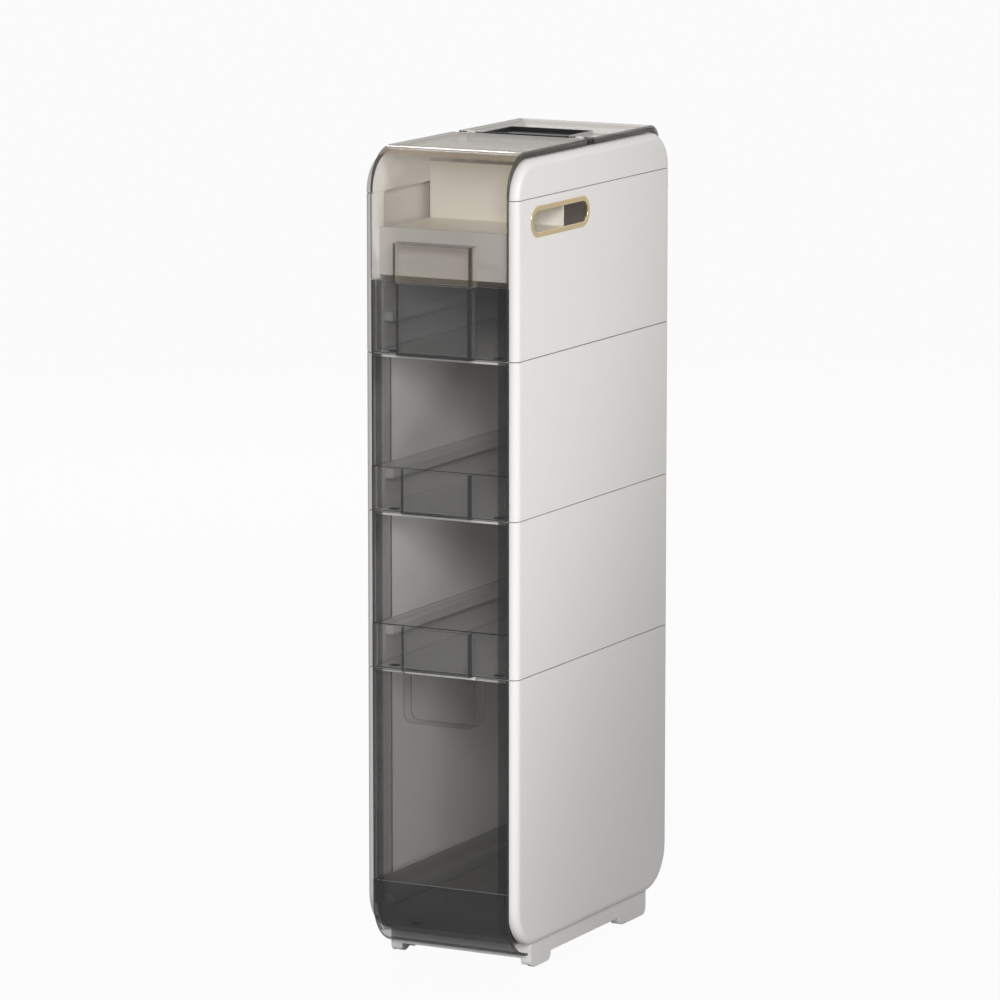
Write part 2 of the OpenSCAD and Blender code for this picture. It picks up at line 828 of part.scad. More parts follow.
module rear_cover() {
    r = rear_cover_r;
    color(clear_grey) difference() {
        union() {
            translate([0, rear_pin_y, z_cover - cover_t]) rotate([-90, 0, 0])
                linear_extrude(rear_cover_y - r - rear_pin_y) mirror([0, 1]) rotate([0, 0, 90])
                    sheet_section(0, cover_t, cover_half_w, cover_edge_r);
            translate([0, rear_cover_y - r, z_cover - r]) rotate([0, 90, 0]) rotate([0, 0, 90])
                rotate_extrude(angle = 90) sheet_section(r - cover_t, cover_t, cover_half_w,
                    cover_edge_r);
            translate([0, rear_cover_y - cover_t, rear_lip_z])
                linear_extrude(z_cover - r - rear_lip_z) rotate([0, 0, 90])
                    sheet_section(0, cover_t, cover_half_w, cover_edge_r);
            cover_flanges() rear_cover_view();
            hinge_barrels(rear_pin_y);
        }
        hinge_cut(rear_pin_y);
        both_sides() block([open_x - slip, rear_cover_y - cover_t - slip, rear_lip_z - over],
            [cover_half_w + over, rear_cover_y + over, rear_notch_z]);
        block([-slot_w / 2, rear_pin_y - barrel_r - over, rear_lip_z],
            [slot_w / 2, rear_pin_y - barrel_r + slot_d, z_cover + over]);
    }
}

module slot_liner() {
    y0 = rear_pin_y - barrel_r;
    x = slot_w / 2 - snug;
    color(black) difference() {
        block([-x, y0, z_cover - liner_d], [x, y0 + slot_d - snug, z_cover]);
        block([liner_t - x, y0 + liner_t, z_cover - liner_d + liner_t],
            [x - liner_t, y0 + slot_d - snug - liner_t, z_cover + over]);
        translate([0, y0 + slot_d / 2, z_cover - liner_d - over])
            linear_extrude(liner_t + 2 * over) stadium(liner_slit_w, liner_slit_d);
    }
}

// Side view of the bottom drawer's tub, drawn in by a wall
module nose_tub_view(t) {
    y0 = t > 0 ? front_back_y : front_y + front_t / 2;
    r = nose_y - y0;
    low = tub_z(4) + (t > 0 ? tub_floor : 0);
    heel = tub_heel_r - t;
    high = tub_top(4) + t;
    intersection() {
        translate([y0, low]) square([tub_back_y - t - y0, high - low]);
        union() {
            translate([nose_y, nose_z]) circle(r);
            translate([nose_y, low]) square([tub_back_y - nose_y, high - low]);
            translate([y0, nose_z]) square([nose_y - y0, high - nose_z]);
        }
        union() {
            translate([tub_back_y - tub_heel_r, tub_z(4) + tub_heel_r]) circle(heel);
            translate([y0, low]) square([tub_back_y - tub_heel_r - y0, high - low]);
            translate([y0, tub_z(4) + tub_heel_r])
                square([tub_back_y - y0, high - tub_z(4) - tub_heel_r]);
        }
    }
}

module pad_places(i) {
    front = i == 4 ? base_front_y : front_back_y;
    for (y = [front + pad_inset, tub_back_y - (i == 4 ? tub_heel_r : 0) - pad_inset - pad_l])
        for (x = [pad_inset - tub_half_w, tub_half_w - pad_inset - pad_w])
            translate([x, y, run_z(i) + slip]) children();
}

// Straight tub of the three upper drawers
module plain_tub(i) {
    r = tub_edge_r;
    difference() {
        tub_solid(tub_half_w, front_y + front_t / 2, tub_back_y, tub_z(i), tub_top(i), r);
        tub_solid(tub_half_w - tub_wall, front_back_y, tub_back_y - tub_wall,
            tub_z(i) + tub_floor, tub_top(i) + over, r - tub_wall);
    }
    front_sheet(front_y, front_t, front_z(i), tub_top(i), front_half_w);
    if (i == 1) finger_box(pull_w / 2 - pull_step, pull_proud - pull_step, front_z(i), tub_top(i),
        true, false);
    else finger_box(low_pull_w / 2, low_pull_proud, front_z(i), tub_top(i), true, false);
}

module tub_solid(hw, y0, y1, z0, z1, r) {
    block([-hw, y0, z0], [hw, y1 - r, z1]);
    block([r - hw, y0, z0], [hw - r, y1, z1]);
    for (side = [-1, 1]) translate([side * (hw - r), y1 - r, z0]) cylinder(r = r, h = z1 - z0);
}

module nose_tub() {
    difference() {
        along_x(-tub_half_w, tub_half_w) nose_tub_view(0);
        along_x(tub_wall - tub_half_w, tub_half_w - tub_wall) nose_tub_view(tub_wall);
    }
    front_sheet(front_y, front_t, nose_z, tub_top(4), front_half_w);
    bent_down(nose_y, nose_z, nose_r, front_t, front_half_w, front_round, nose_sweep);
}

module drawer_tub(i) {
    color(smoke) difference() {
        if (i == 4) nose_tub(); else plain_tub(i);
        pad_places(i) cube([pad_w, pad_l, pad_h]);
    }
}

module drawer_pads(i) {
    color(black) pad_places(i) cube([pad_w, pad_l, pad_h]);
}

module drawer_window(i) {
    y = front_y + window_inset;
    z0 = tub_top(i);
    z1 = level_top(i) - front_gap / 2;
    flange_top = level_top(i) - shelf_t - 2 * slip;
    color(smoke) {
        difference() {
            front_sheet(y, window_t, z0, z1, front_half_w);
            if (i == 4) dent_solid(dent_w / 2 - pull_wall, y - over, y + window_t + over,
                z1 - dent_h + pull_wall, z1 + over, dent_r);
        }
        both_sides() block([flange_x, y + window_t / 2, z0],
            [flange_x + flange_t, flange_end_y, flange_top]);
        if (i == 4) difference() {
            dent_solid(dent_w / 2, y + window_t / 2, front_y + dent_d, z1 - dent_h, flange_top,
                dent_r + pull_wall);
            dent_solid(dent_w / 2 - pull_wall, y - over, front_y + dent_d - pull_wall,
                z1 - dent_h + pull_wall, z1 + over, dent_r);
        }
    }
}

// An upright slab with two rounded lower corners
module dent_solid(hw, y0, y1, z0, z1, r) {
    block([-hw, y0, z0 + r], [hw, y1, z1]);
    block([r - hw, y0, z0], [hw - r, y1, z0 + 2 * r]);
    for (side = [-1, 1]) rod_y(y0, y1, side * (hw - r), z0 + r, r);
}

base_tray();
mirror([1, 0, 0]) foot(0);  // foot_front_left
foot(0);  // foot_front_right
mirror([1, 0, 0]) foot(1);  // foot_rear_left
foot(1);  // foot_rear_right
mirror([1, 0, 0]) wheel(0);  // wheel_front_left
wheel(0);  // wheel_front_right
mirror([1, 0, 0]) wheel(1);  // wheel_rear_left
wheel(1);  // wheel_rear_right
wheel_axles();
foot_screws();
floor_screws();
for (i = [1:4]) {
    left_panel(i);
    right_panel(i);
    back_panel(i);
    rails(i);
    drawer_tub(i);
    drawer_pads(i);
}
for (i = [1:3]) shelf(i);
for (i = [2:4]) drawer_window(i);
bottom_floor();
joining_pegs();
back_screws();
top_frame();
top_tray();
bay_divider();
fascia();
outlet_ring();
front_cover();
hinge_pins(front_pin_y);  // front_cover_pins
rear_cover();
hinge_pins(rear_pin_y);  // rear_cover_pins
slot_liner();
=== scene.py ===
# %% [markdown]
# # A slim rolling drawer cabinet
# The CAD model comes in as a fixed frame: each solid is a node that already sits in its place
# and moves with its body. This lesson dresses that frame. It gives each moulded piece the tiny
# edge rounding and the surface that an injection mould leaves, makes the screws, the ribbed
# wheels and the see-through fronts, and ends with plain studio light and the camera.

# %% Load the frame
import bpy, bmesh, json, math
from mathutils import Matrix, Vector
from mathutils.bvhtree import BVHTree


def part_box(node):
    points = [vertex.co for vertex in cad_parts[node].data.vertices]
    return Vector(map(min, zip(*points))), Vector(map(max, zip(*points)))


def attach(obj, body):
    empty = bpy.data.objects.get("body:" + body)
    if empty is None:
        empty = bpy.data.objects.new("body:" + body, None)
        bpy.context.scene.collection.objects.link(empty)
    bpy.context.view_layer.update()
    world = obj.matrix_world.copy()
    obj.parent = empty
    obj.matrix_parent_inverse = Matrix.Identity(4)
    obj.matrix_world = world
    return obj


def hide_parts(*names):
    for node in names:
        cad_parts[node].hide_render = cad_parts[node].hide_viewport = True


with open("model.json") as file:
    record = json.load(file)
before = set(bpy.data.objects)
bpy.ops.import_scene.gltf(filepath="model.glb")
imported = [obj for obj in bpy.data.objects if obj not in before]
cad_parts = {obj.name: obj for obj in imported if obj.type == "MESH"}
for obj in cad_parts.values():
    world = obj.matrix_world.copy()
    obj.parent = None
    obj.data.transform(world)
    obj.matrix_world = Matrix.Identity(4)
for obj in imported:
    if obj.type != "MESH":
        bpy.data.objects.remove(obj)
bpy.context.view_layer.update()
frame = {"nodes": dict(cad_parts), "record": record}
nodes = frame["nodes"]

# %% [markdown]
# ## Which body carries what
# A new piece that stands for a node has to move as the node does. The record lists the nodes
# of each body and the finish of each node, and a small table of the bodies answers the question.
# One helper then says all there is to say about a piece: its body and the node it stands for.

# %% A table from the record
record = frame["record"]
body_of = {node: body for body, members in record["behaviour"]["bodies"].items()
           for node in members}

def stands_for(piece, node):
    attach(piece, body_of[node])
    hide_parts(node)
    return piece

# %% [markdown]
# ## Steps that come back
# Blender works in metres, and the sizes of a cabinet read better in millimetres. Two steps come
# back for every piece: an object is put in the scene, and the mesh that its modifiers make is
# taken as a plain one. CAD meshes are loose triangles, so a copy is welded before any work.

# %% Objects and meshes
MM = 0.001
WELD = 1e-6             # metres within which two corners are the same corner
scene = bpy.context.scene

def put(name, data):
    thing = bpy.data.objects.new(name, data)
    scene.collection.objects.link(thing)
    return thing

def plain_mesh(carrier):
    """The mesh that the modifiers of an object make. The object itself is removed."""
    bpy.context.view_layer.update()
    seen = carrier.evaluated_get(bpy.context.evaluated_depsgraph_get())
    mesh = bpy.data.meshes.new_from_object(seen)
    bpy.data.objects.remove(carrier)
    return mesh

def welded(mesh):
    work = bmesh.new()
    work.from_mesh(mesh)
    bmesh.ops.remove_doubles(work, verts=work.verts, dist=WELD)
    return work

def shade_smooth(mesh):
    mesh.polygons.foreach_set("use_smooth", [True] * len(mesh.polygons))

print("one millimetre is", MM, "m")

# %% [markdown]
# ## Nodes
# Materials, the world and the trees that grow screws and ribs are all made of nodes. One helper
# adds a node and fills its inputs: a number or a tuple is set as a value, an output of another
# node is linked, and a list is linked one by one into an input that takes several.

# %% Adding a node
def add_node(tree, kind, inputs=None, **settings):
    node = tree.nodes.new(kind)
    for name, value in settings.items():
        setattr(node, name, value)
    for key, given in (inputs or {}).items():
        for value in given if isinstance(given, list) else [given]:
            if isinstance(value, bpy.types.NodeSocket):
                tree.links.new(value, node.inputs[key])
            else:
                node.inputs[key].default_value = value
    return node

def maths(tree, operation, *values):
    node = add_node(tree, "ShaderNodeMath", dict(enumerate(values)), operation=operation)
    return node.outputs[0]

print("node helpers ready")

# %% [markdown]
# ## Materials
# A plastic surface is never one flat colour. A mould leaves a faint grain that breaks up the
# reflection, and handling leaves soft patches where the gloss differs. Both come from noise in
# Object coordinates, which stay with a piece when it moves. One helper makes the parts that all
# finishes share: a shader, a patchy roughness and a fine bump. Values that are the same all
# over, such as a coat, go straight into the shader.

# %% A finish with patchy gloss and a fine grain
PATCHES_PER_METRE = 14.0
GRAIN_HEIGHT = 0.4 * MM

def finish(name, colour, gloss, patch=0.05, grain=900.0, grain_depth=0.02, tint=0.0,
           shader_values=None):
    material = bpy.data.materials.new(name)
    material.use_nodes = True
    tree = material.node_tree
    place = add_node(tree, "ShaderNodeTexCoord").outputs["Object"]
    patches = add_node(tree, "ShaderNodeTexNoise", {
        "Vector": place, "Scale": PATCHES_PER_METRE, "Detail": 3.0}).outputs["Fac"]
    roughness = add_node(tree, "ShaderNodeMapRange", {
        "Value": patches, "To Min": gloss - patch, "To Max": gloss + patch}).outputs["Result"]
    fine = add_node(tree, "ShaderNodeTexNoise", {
        "Vector": place, "Scale": grain, "Detail": 2.0}).outputs["Fac"]
    bump = add_node(tree, "ShaderNodeBump", {
        "Height": fine, "Strength": grain_depth, "Distance": GRAIN_HEIGHT}).outputs["Normal"]
    shader = tree.nodes["Principled BSDF"]
    shader.inputs["Base Color"].default_value = (*colour, 1.0)
    for key, value in (shader_values or {}).items():
        shader.inputs[key].default_value = value
    tree.links.new(roughness, shader.inputs["Roughness"])
    tree.links.new(bump, shader.inputs["Normal"])
    if tint:
        darker = [channel * (1 - tint) for channel in colour]
        shade = add_node(tree, "ShaderNodeMix", {
            "A": (*colour, 1.0), "B": (*darker, 1.0), "Factor": patches}, data_type="RGBA")
        tree.links.new(shade.outputs["Result"], shader.inputs["Base Color"])
    return material

# %% Whites and the board
white_shell = finish("satin white shell", (0.89, 0.866, 0.84), 0.33, tint=0.02,
                     shader_values={"Coat Weight": 0.15, "Coat Roughness": 0.2})
white_inside = finish("white inner plastic", (0.92, 0.91, 0.88), 0.45, tint=0.02)
cream_inside = finish("cream inner plastic", (0.95, 0.91, 0.82), 0.45, tint=0.02)
grey_board = finish("warm grey board", (0.62, 0.595, 0.565), 0.4, tint=0.03)
# near black: a painted shade for the walls of the seams
painted_seam_shade = finish("painted seam shade", (0.16, 0.15, 0.145), 0.6, patch=0.02)
print("whites ready")

# %% [markdown]
# ## See-through plastics
# Smoked and clear sheets are thin, so the light hardly bends in them. What the eye reads is how
# much of the white behind comes through, and the sharp reflection on top. A shader with an alpha
# gives both, lets the lamps reach the inside, and survives the export. Seen at a slant, light
# takes a longer way through a sheet, up to a third more at an index of 1.49, and the alpha
# follows that. In a cut edge it runs along the sheet, so each rim of a box draws a dark line.

# %% Sheets and their edges
SHEET_IOR = 1.49

def sheet_finish(name, colour, through, gloss=0.07):
    """A sheet that lets this share of the light through where it is seen straight on."""
    material = finish(name, colour, gloss, patch=0.02, grain=300.0, grain_depth=0.003,
                      shader_values={"IOR": SHEET_IOR})
    tree = material.node_tree
    facing = add_node(tree, "ShaderNodeLayerWeight", {"Blend": 0.5}).outputs["Facing"]
    cosine = maths(tree, "SUBTRACT", 1.0, facing)
    sine_squared = maths(tree, "SUBTRACT", 1.0, maths(tree, "MULTIPLY", cosine, cosine))
    bent = maths(tree, "DIVIDE", sine_squared, round(SHEET_IOR ** 2, 2))
    way = maths(tree, "POWER", maths(tree, "SUBTRACT", 1.0, bent), -0.5)
    held_back = maths(tree, "SUBTRACT", 1.0, maths(tree, "POWER", through, way))
    tree.links.new(held_back, tree.nodes["Principled BSDF"].inputs["Alpha"])
    return material

def edge_finish(name, colour, alpha):
    return finish(name, colour, 0.12, patch=0.03, grain=500.0, grain_depth=0.01,
                  shader_values={"Alpha": alpha})

# %% Smoked and clear plastics
# A sheet: its colour and the share of light that it lets through
smoked_window = sheet_finish("smoked window", (0.26, 0.26, 0.265), 0.93)
smoked_border = sheet_finish("smoked border", (0.04, 0.04, 0.042), 0.58)
smoked_flange = sheet_finish("smoked flange", (0.1, 0.1, 0.103), 0.84)
smoked_tub = sheet_finish("smoked tub", (0.2, 0.2, 0.205), 0.88)
smoked_box = sheet_finish("smoked finger box", (0.3, 0.3, 0.305), 0.95)
smoked_low = sheet_finish("smoked bottom tub", (0.06, 0.06, 0.063), 0.68)
smoked_tall = sheet_finish("smoked tall window", (0.15, 0.147, 0.14), 0.83)
clear_cover = sheet_finish("clear warm grey cover", (0.66, 0.57, 0.45), 0.93)
clear_top = sheet_finish("warm grey cover top", (0.58, 0.47, 0.33), 0.6, gloss=0.1)
# An edge: its colour and the share of light that it holds back
smoked_edge = edge_finish("smoked edge", (0.03, 0.03, 0.032), 0.8)
# near white and nearly opaque: a painted highlight on front rims that face up
painted_rim_highlight = edge_finish("painted rim highlight", (0.9, 0.9, 0.91), 0.9)
clear_edge = edge_finish("clear edge", (0.06, 0.05, 0.04), 0.78)
print("sheets ready")

# %% [markdown]
# ## Metals and dark plastics
# The brass ring has a satin polish, with a fine grain that softens what it mirrors. Steel is
# only seen on screws, pins and axles. The wheels are hard grey plastic, a little duller than
# the shell, and the insert and the pads are nearly black.

# %% Metals, insert, pads and wheels
def metal(name, colour, gloss):
    return finish(name, colour, gloss, patch=0.06, grain=1400.0, grain_depth=0.03,
                  shader_values={"Metallic": 1.0})

brass = metal("satin brass", (0.95, 0.77, 0.46), 0.22)
steel = metal("bright steel", (0.62, 0.62, 0.64), 0.28)
black_insert = finish("black insert", (0.012, 0.012, 0.013), 0.42, tint=0.2)
pad_black = finish("black pad", (0.02, 0.02, 0.02), 0.6)
wheel_grey = finish("wheel grey", (0.30, 0.30, 0.295), 0.42, tint=0.1)
print("metals and dark plastics ready")

# %% [markdown]
# ## Where a sheet looks dark
# A moulded sheet isn't equally dark all over. Its cut edges and side flanges hold back more
# light than its face, the outer bands of a front lie over a flange, and a finger box stands out
# paler. A rim that faces up is painted near white, a painted highlight for the light it would
# catch. The place and the direction of a face tell which of these it is. An edge is found in two
# ways: the face is very narrow, or a ray sent inwards from it meets nothing within the thickness
# of a sheet.

# %% The finish of each face of a sheet
PLAIN, EDGE, FLANGE, BORDER, BOX, RIM = range(6)
SQUARE_ON, SLOPED, TURNED = 0.9, 0.7, 0.3       # how much of a normal lies along an axis
NARROW, SHEET = 1.4 * MM, 5.6 * MM
SKIN = 1e-5                                     # metres below a face, where its ray starts
FLANGE_X, BORDER_X = 94.1 * MM, 84.0 * MM       # half the width between flanges, and bands
FACE_Y = -213.1 * MM                            # finger boxes stand in front of this
FRONT_Y = FACE_Y + 5 * MM
COVER_TOP_Z = 1055.5 * MM

def part_of_sheet(normal, middle, is_edge, rim_z):
    front = middle.y < FRONT_Y
    # a front rim that faces up takes the painted highlight
    if rim_z and front and normal.z > SQUARE_ON and abs(middle.z - rim_z) < MM:
        return RIM
    if is_edge:
        return EDGE
    if abs(normal.x) > SQUARE_ON and abs(middle.x) > FLANGE_X:
        return FLANGE
    if middle.z > COVER_TOP_Z and abs(normal.z) > SLOPED:
        return RIM
    if middle.y < FACE_Y:
        return EDGE if abs(normal.z) > SQUARE_ON else BOX
    if front and abs(normal.x) < TURNED and abs(middle.x) > BORDER_X:
        return BORDER
    return PLAIN

print("a sheet has", RIM + 1, "kinds of face")

# %% Marking the faces of a sheet
def mark_sheet(mesh, rim_z):
    """Sort the faces by the largest triangle of each, because a face may have holes."""
    mesh.calc_loop_triangles()
    solid = BVHTree.FromPolygons([v.co for v in mesh.vertices],
                                 [tuple(face.vertices) for face in mesh.polygons])
    largest = {}
    for triangle in mesh.loop_triangles:
        known = largest.get(triangle.polygon_index)
        if triangle.area > (known.area if known else 0.0):
            largest[triangle.polygon_index] = triangle
    for k, triangle in largest.items():
        face = mesh.polygons[k]
        corners = [mesh.vertices[v].co for v in face.vertices]
        around = sum((a - b).length for a, b in zip(corners, corners[1:] + corners[:1]))
        width = 2 * face.area / around          # of a face that is much longer than wide
        middle = sum((mesh.vertices[v].co for v in triangle.vertices), Vector()) / 3
        inwards = -triangle.normal
        across = solid.ray_cast(middle + inwards * SKIN, inwards, SHEET)[0]
        is_edge = width < NARROW or across is None
        face.material_index = part_of_sheet(triangle.normal, middle, is_edge, rim_z)

print("an edge is under", round(NARROW / MM, 1), "mm wide or over", round(SHEET / MM, 1), "deep")

# %% [markdown]
# ## Moulded edges
# On the real cabinet no edge is perfectly sharp: each one has a fraction of a millimetre of
# rounding that catches a thin line of light. A copy of each CAD mesh is welded, its flat areas
# are joined into single faces, and a narrow bevel with even shading rounds what is left. The
# large faces are then shaded flat, so that the soft shading stays in the roundings. A sheet is
# cut along the inner lines of its outer bands first, because a band is a face of its own.

# %% A moulded copy of a CAD node
FLAT_WITHIN = math.radians(0.4)
SHARP_FROM, BEVEL_FROM = math.radians(32), math.radians(30)
LARGE_FACE = 15e-4                              # square metres

def moulded(node, material, rounding, steps=2, sheets=(), rim_z=None):
    work = welded(nodes[node].data)
    bmesh.ops.dissolve_limit(work, angle_limit=FLAT_WITHIN, verts=work.verts, edges=work.edges)
    for x in (-BORDER_X, BORDER_X) if sheets else ():
        bmesh.ops.bisect_plane(work, geom=work.verts[:] + work.edges[:] + work.faces[:],
                               dist=WELD, plane_co=(x, 0, 0), plane_no=(1, 0, 0))
    mesh = nodes[node].data.copy()
    work.to_mesh(mesh)
    work.free()
    shade_smooth(mesh)
    mesh.set_sharp_from_angle(angle=SHARP_FROM)
    raw = put(node + "_raw", mesh)
    bevel = raw.modifiers.new("edge", "BEVEL")
    bevel.width = rounding * MM
    bevel.segments = steps
    bevel.limit_method = "ANGLE"
    bevel.angle_limit = BEVEL_FROM
    bevel.miter_outer = "MITER_ARC"
    bevel.use_clamp_overlap = True
    bevel.harden_normals = True
    done = plain_mesh(raw)
    for face in done.polygons:
        if face.area > LARGE_FACE:
            face.use_smooth = False
    done.materials.clear()
    for one in (material, *sheets):
        done.materials.append(one)
    if sheets:
        mark_sheet(done, rim_z)
    return stands_for(put(node + "_moulded", done), node)

print("faces over", round(LARGE_FACE * 1e4), "square cm stay flat")

# %% [markdown]
# ## Seams
# A groove runs round the top of each level. It is a millimetre wide, and its walls are painted
# darker than the shell: a painted shade for the shadow that the groove holds.

# %% Painted shade on the walls of the seams
SEAM_DEPTH = 1.35 * MM

def paint_seam_shade(piece):
    mesh = piece.data
    mesh.materials.append(painted_seam_shade)
    bottom = max(v.co.z for v in mesh.vertices) - SEAM_DEPTH
    for face in mesh.polygons:
        lowest = min(mesh.vertices[v].co.z for v in face.vertices)
        # the walls of the groove get the near-black painted shade
        if face.normal.z < SQUARE_ON and lowest > bottom:
            face.material_index = len(mesh.materials) - 1

print("seams are shaded", round(SEAM_DEPTH / MM, 2), "mm deep")

# %% [markdown]
# ## White pieces
# Side panels, top frame, base and feet are the outside of the cabinet and have the best
# surface. Shelves, backs and rails are plainer. The bay under the front cover is given a cream
# plastic, and the board under it a warm grey.

# %% White pieces
SIDES, ENDS, LEVELS = ("left", "right"), ("front", "rear"), (1, 2, 3, 4)
outer = [f"{side}_panel_{i}" for side in SIDES for i in LEVELS] + ["top_frame", "base_tray"]
outer += [f"foot_{end}_{side}" for end in ENDS for side in SIDES]
inner = [f"back_panel_{i}" for i in LEVELS] + [f"shelf_{i}" for i in LEVELS[:3]]
inner += [f"rails_{i}" for i in LEVELS] + ["bottom_floor", "joining_pegs"]
for node in outer:
    piece = moulded(node, white_shell, 0.6)
    if "panel" in node:
        paint_seam_shade(piece)
for node in inner:
    moulded(node, white_inside, 0.5, steps=1)
for node in ("top_tray", "bay_divider"):
    moulded(node, cream_inside, 0.5, steps=1)
moulded("fascia", grey_board, 0.5, steps=1)
print("white pieces", len(outer) + len(inner) + 3)

# %% [markdown]
# ## Drawers and covers
# The tubs and windows of the drawers are smoked sheets, and the two covers are clear ones. Each
# gets the six finishes of a sheet in the order of the names above. The upper and the bottom tub
# have a front rim with a painted highlight, a pale line.

# %% See-through pieces
DRAWER_1_RIM, DRAWER_4_RIM = 896 * MM, 111 * MM

def smoked(node, sheet, box=None, rim_z=None):
    rest = (smoked_edge, smoked_flange, smoked_border, box or sheet, painted_rim_highlight)
    moulded(node, sheet, 0.4, sheets=rest, rim_z=rim_z)

smoked("drawer_1_tub", smoked_tub, rim_z=DRAWER_1_RIM)
for i in (2, 3):
    smoked(f"drawer_{i}_tub", smoked_tub, box=smoked_box)
    smoked(f"drawer_{i}_window", smoked_window)
smoked("drawer_4_window", smoked_tall)
smoked("drawer_4_tub", smoked_low, rim_z=DRAWER_4_RIM)
for node in ("front_cover", "rear_cover"):
    moulded(node, clear_cover, 0.4,
            sheets=(clear_edge, clear_edge, clear_cover, clear_cover, clear_top))
print("drawers and covers ready")

# %% Insert, ring, pads, axles and pins
moulded("slot_liner", black_insert, 0.5)
moulded("outlet_ring", brass, 0.5, steps=3)
for i in LEVELS:
    moulded(f"drawer_{i}_pads", pad_black, 0.3)
for node in ("wheel_axles", "front_cover_pins", "rear_cover_pins"):
    moulded(node, steel, 0.25)
print("small pieces ready")

# %% [markdown]
# ## Trees that grow pieces
# What repeats is made with Geometry Nodes: one tree describes the piece once, and named inputs
# hold its sizes. Both trees of this lesson begin with their inputs and end alike, with Realize
# Instances and Set Material, so that the result can be taken as a plain mesh.

# %% The beginning and the end of a tree
def new_tree(name, inputs, result):
    tree = bpy.data.node_groups.new(name, "GeometryNodeTree")
    for label, (kind, value) in inputs.items():
        socket = tree.interface.new_socket(label, in_out="INPUT", socket_type="NodeSocket" + kind)
        if value is not None:
            socket.default_value = value
    tree.interface.new_socket(result, in_out="OUTPUT", socket_type="NodeSocketGeometry")
    return tree, tree.nodes.new("NodeGroupInput").outputs

def end_tree(tree, geometry, material):
    real = add_node(tree, "GeometryNodeRealizeInstances", {0: geometry}).outputs[0]
    painted = add_node(tree, "GeometryNodeSetMaterial", {
        "Geometry": real, "Material": material}).outputs[0]
    add_node(tree, "NodeGroupOutput", {0: painted})
    return tree

def vector(tree, x, y, z):
    return add_node(tree, "ShaderNodeCombineXYZ", {0: x, 1: y, 2: z}).outputs[0]

def block(tree, x, y, z):
    return add_node(tree, "GeometryNodeMeshCube", {"Size": vector(tree, x, y, z)}).outputs["Mesh"]

def moved(tree, geometry, x, y, z):
    return add_node(tree, "GeometryNodeTransform", {
        "Geometry": geometry, "Translation": vector(tree, x, y, z)}).outputs[0]

# %% Growing a piece from a tree
GROWN_SHARP = math.radians(35)

def grown(name, source, tree, values, node):
    carrier = put(name + "_points", source)
    growth = carrier.modifiers.new("grow", "NODES")
    growth.node_group = tree
    sockets = {s.name: s.identifier for s in tree.interface.items_tree if s.in_out == "INPUT"}
    for label, value in values.items():
        growth[sockets[label]] = value
    mesh = plain_mesh(carrier)
    mesh.set_sharp_from_angle(angle=GROWN_SHARP)
    stands_for(put(name, mesh), node)
    print(name, len(mesh.vertices), "points")

# %% [markdown]
# ## Screws
# Twenty-four small screws hold the back, the floor and the feet. Each has the same flat round
# head with a cross in it, so one tree makes a screw and sets it on every point of a little
# point cloud. The points are the tops of the CAD heads, found from the loose parts of the CAD
# mesh, and the length of the shank is what the CAD screw has below its head.

# %% The screw tree
HEAD_RADIUS, HEAD_HEIGHT = 3.5 * MM, 2.0 * MM
SHANK_SHARE = 0.5                               # of the head's radius
BAR_LONG, BAR_WIDE, BAR_DEEP = 1.2, 0.24, 1.2   # of the head's radius, and of its height
OVERLAP = 0.95                                  # of the head's height above the shank

def screw_tree():
    tree, given = new_tree("cross-head screws", {
        "Points": ("Geometry", None), "Head radius": ("Float", HEAD_RADIUS),
        "Head height": ("Float", HEAD_HEIGHT), "Shank": ("Float", 3 * MM),
        "Turn": ("Vector", None), "Finish": ("Material", None)}, "Screws")
    radius, height, length = given["Head radius"], given["Head height"], given["Shank"]

    def times(value, share):
        return maths(tree, "MULTIPLY", value, share)

    head = add_node(tree, "GeometryNodeMeshCylinder", {
        "Vertices": 28, "Radius": radius, "Depth": height}).outputs["Mesh"]
    shank = add_node(tree, "GeometryNodeMeshCylinder", {
        "Vertices": 16, "Radius": times(radius, SHANK_SHARE), "Depth": length}).outputs["Mesh"]
    cross = [block(tree, times(radius, x), times(radius, y), times(height, BAR_DEEP))
             for x, y in ((BAR_LONG, BAR_WIDE), (BAR_WIDE, BAR_LONG))]
    crossed = add_node(tree, "GeometryNodeMeshBoolean", {
        "Mesh 1": moved(tree, head, 0, 0, times(height, -0.5)), "Mesh 2": cross},
        operation="DIFFERENCE").outputs["Mesh"]
    below = maths(tree, "MULTIPLY_ADD", length, -0.5, times(height, -OVERLAP))
    screw = add_node(tree, "GeometryNodeJoinGeometry", {
        0: [crossed, moved(tree, shank, 0, 0, below)]}).outputs[0]
    placed = add_node(tree, "GeometryNodeInstanceOnPoints", {
        "Points": given["Points"], "Instance": screw, "Rotation": given["Turn"]}).outputs[0]
    return end_tree(tree, placed, given["Finish"])

screws = screw_tree()
print("screw tree nodes", len(screws.nodes))

# %% Loose parts of a node
def loose_parts(node):
    """The lowest and highest corner of each loose part, in the order of the mesh."""
    work = welded(nodes[node].data)
    met, parts = set(), []
    for first in work.verts:
        if first in met:
            continue
        met.add(first)
        stack, part = [first], []
        while stack:
            corner = stack.pop()
            part.append(corner.co.copy())
            for edge in corner.link_edges:
                other = edge.other_vert(corner)
                if other not in met:
                    met.add(other)
                    stack.append(other)
        parts.append((Vector([min(c[k] for c in part) for k in range(3)]),
                      Vector([max(c[k] for c in part) for k in range(3)])))
    work.free()
    return parts

print("screws in the back:", len(loose_parts("back_screws")))

# %% Screws on the back, the floor and the feet
def heads(node, axis, outwards):
    """A cloud with a point on each head, and the length of the screws."""
    parts = loose_parts(node)
    spots = []
    for low, high in parts:
        middle = (low + high) / 2
        middle[axis] = (high if outwards > 0 else low)[axis]
        spots.append(tuple(middle))
    cloud = bpy.data.meshes.new(node + "_heads")
    cloud.from_pydata(spots, [], [])
    return cloud, (parts[0][1] - parts[0][0])[axis]

